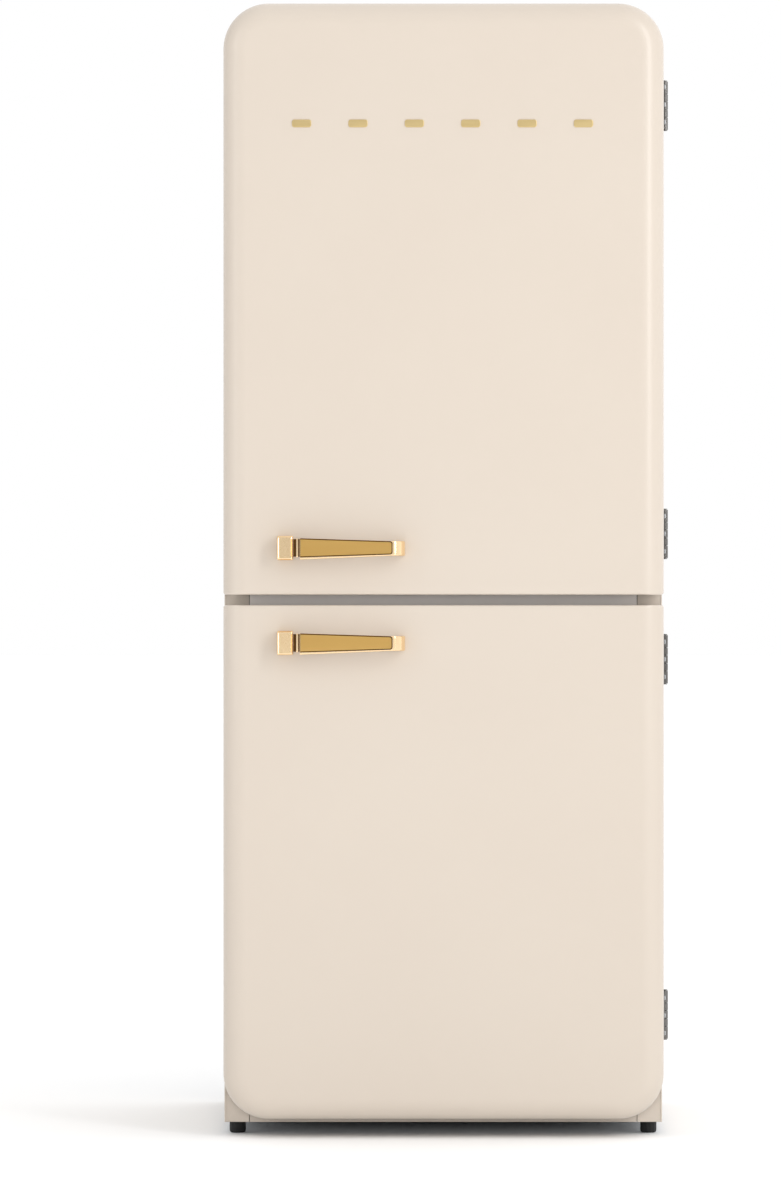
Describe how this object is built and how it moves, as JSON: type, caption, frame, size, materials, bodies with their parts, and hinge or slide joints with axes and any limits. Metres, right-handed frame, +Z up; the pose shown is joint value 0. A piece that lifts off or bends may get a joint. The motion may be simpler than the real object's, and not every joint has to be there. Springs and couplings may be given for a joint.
{
  "type": "compact two-door refrigerator",
  "caption": "Retro fridge-freezer with rounded enamel doors on exposed butt hinges, lever handles, sliding drawers, glass shelves and a rear compressor bay.",
  "frame": {"origin": "on the floor, under the middle of the appliance's outline", "axes": "+Z up, -Y towards the doors, +X towards the hinges"},
  "size_m": [0.557, 0.5897, 1.4165],
  "materials": {
    "cream_enamel": "satin",
    "polished_brass": "polished",
    "chrome": "polished",
    "black_enamel": "satin",
    "black_rubber": "matte",
    "grey_seal": "matte",
    "white_plastic": "satin",
    "clear_plastic": "gloss",
    "shelf_glass": "polished",
    "rigid_foam": "matte",
    "galvanised_steel": "satin",
    "copper": "satin",
    "rolled_aluminium": "satin"
  },
  "bodies": {
    "cabinet": {"outer_case": "cream_enamel", "back_panel": "galvanised_steel", "base_plate": "galvanised_steel", "bottom_rail": "cream_enamel", "mullion_rail": "cream_enamel", "compressor_bay_panel": "galvanised_steel", "fridge_liner": "white_plastic", "freezer_liner": "white_plastic", "insulation_foam": "rigid_foam", "evaporator_plate": "rolled_aluminium", "crisper_cover": "shelf_glass", "glass_shelf_1": "shelf_glass", "glass_shelf_2": "shelf_glass", "glass_shelf_3": "shelf_glass", "thermostat_housing": "white_plastic", "lamp_lens": "clear_plastic", "door_switch": "white_plastic", "compressor": "black_enamel", "relay_cover": "white_plastic", "evaporation_tray": "clear_plastic", "condenser_coil": "black_enamel", "filter_drier": "copper", "cord_gland": "black_rubber", "rear_foot_left": "black_rubber", "rear_foot_right": "black_rubber", "upper_door_hinge_top_case_leaf": "chrome", "upper_door_hinge_bottom_case_leaf": "chrome", "lower_door_hinge_top_case_leaf": "chrome", "lower_door_hinge_bottom_case_leaf": "chrome", "upper_door_hinge_top_pin": "chrome", "upper_door_hinge_bottom_pin": "chrome", "lower_door_hinge_top_pin": "chrome", "lower_door_hinge_bottom_pin": "chrome"},
    "upper_door": {"upper_door_skin": "cream_enamel", "upper_door_foam": "rigid_foam", "upper_door_liner": "white_plastic", "upper_door_gasket": "grey_seal", "upper_handle_base": "polished_brass", "upper_handle_grip": "polished_brass", "door_bin_1": "clear_plastic", "door_bin_2": "clear_plastic", "door_bin_3": "clear_plastic", "upper_door_hinge_top_door_leaf": "chrome", "upper_door_hinge_bottom_door_leaf": "chrome"},
    "lower_door": {"lower_door_skin": "cream_enamel", "lower_door_foam": "rigid_foam", "lower_door_liner": "white_plastic", "lower_door_gasket": "grey_seal", "lower_handle_base": "polished_brass", "lower_handle_grip": "polished_brass", "lower_door_hinge_top_door_leaf": "chrome", "lower_door_hinge_bottom_door_leaf": "chrome"},
    "thermostat_knob": {"thermostat_knob": "white_plastic"},
    "door_switch_button": {"door_switch_button": "black_rubber"},
    "crisper_drawer": {"crisper_drawer": "clear_plastic"},
    "freezer_drawer_1": {"freezer_drawer_1": "clear_plastic"},
    "freezer_drawer_2": {"freezer_drawer_2": "clear_plastic"},
    "freezer_drawer_3": {"freezer_drawer_3": "clear_plastic"},
    "front_foot_left": {"front_foot_left": "black_rubber"},
    "front_foot_right": {"front_foot_right": "black_rubber"}
  },
  "joints": [
    {"name": "upper_door_hinge", "type": "hinge", "parent": "cabinet", "child": "upper_door", "pos_m": [0.275, -0.203, 1], "axis": [0, 0, 1], "range_deg": [0, 135]},
    {"name": "lower_door_hinge", "type": "hinge", "parent": "cabinet", "child": "lower_door", "pos_m": [0.275, -0.203, 0.4], "axis": [0, 0, 1], "range_deg": [0, 135]},
    {"name": "thermostat_turn", "type": "hinge", "parent": "cabinet", "child": "thermostat_knob", "pos_m": [-0.0035, -0.0923, 1.3552], "axis": [0, -1, 0], "range_deg": [0, 270]},
    {"name": "door_switch_travel", "type": "slide", "parent": "cabinet", "child": "door_switch_button", "axis": [0, -1, 0], "range_m": [0, 0.005]},
    {"name": "crisper_slide", "type": "slide", "parent": "cabinet", "child": "crisper_drawer", "axis": [0, -1, 0], "range_m": [0, 0.012]},
    {"name": "freezer_drawer_1_slide", "type": "slide", "parent": "cabinet", "child": "freezer_drawer_1", "axis": [0, -1, 0], "range_m": [0, 0.03]},
    {"name": "freezer_drawer_2_slide", "type": "slide", "parent": "cabinet", "child": "freezer_drawer_2", "axis": [0, -1, 0], "range_m": [0, 0.03]},
    {"name": "freezer_drawer_3_slide", "type": "slide", "parent": "cabinet", "child": "freezer_drawer_3", "axis": [0, -1, 0], "range_m": [0, 0.03]},
    {"name": "front_foot_left_screw", "type": "slide", "parent": "cabinet", "child": "front_foot_left", "axis": [0, 0, 1], "range_m": [-0.012, 0]},
    {"name": "front_foot_right_screw", "type": "slide", "parent": "cabinet", "child": "front_foot_right", "axis": [0, 0, 1], "range_m": [-0.012, 0]}
  ],
  "couplings": [
    {"joint": "door_switch_travel", "follows": "upper_door_hinge", "m_per_rad": 0.0021}
  ]
}
